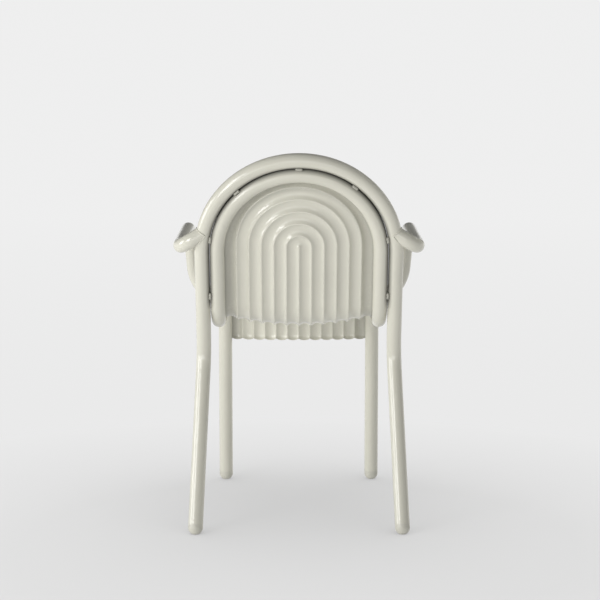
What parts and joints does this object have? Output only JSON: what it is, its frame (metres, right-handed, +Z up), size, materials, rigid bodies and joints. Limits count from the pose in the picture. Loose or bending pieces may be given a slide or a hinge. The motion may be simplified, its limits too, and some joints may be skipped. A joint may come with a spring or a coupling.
{
  "type": "garden armchair",
  "caption": "Garden armchair with two nested tube arches, bent tube arms and a ribbed sheet shell that runs from the back through the seat to a front lip.",
  "frame": {"origin": "on the floor, under the centre of the chair's bounding box", "axes": "+Z up, -Y the way the sitter faces, +X the sitter's left"},
  "size_m": [0.538, 0.5515, 0.8178],
  "materials": {
    "frame_paint": "semi-gloss powder coat on steel tube",
    "shell_paint": "semi-gloss powder coat on steel sheet",
    "glide_plastic": "smooth moulded plastic in the frame's colour"
  },
  "bodies": {
    "root": {"outer_frame_tube": "frame_paint", "inner_frame_tube": "frame_paint", "left_arm_tube": "frame_paint", "right_arm_tube": "frame_paint", "top_tie": "frame_paint", "left_shoulder_tie": "frame_paint", "right_shoulder_tie": "frame_paint", "left_arm_tie": "frame_paint", "right_arm_tie": "frame_paint", "left_low_tie": "frame_paint", "right_low_tie": "frame_paint", "ribbed_shell": "shell_paint", "rear_left_glide": "glide_plastic", "rear_right_glide": "glide_plastic", "front_left_glide": "glide_plastic", "front_right_glide": "glide_plastic"}
  },
  "joints": []
}
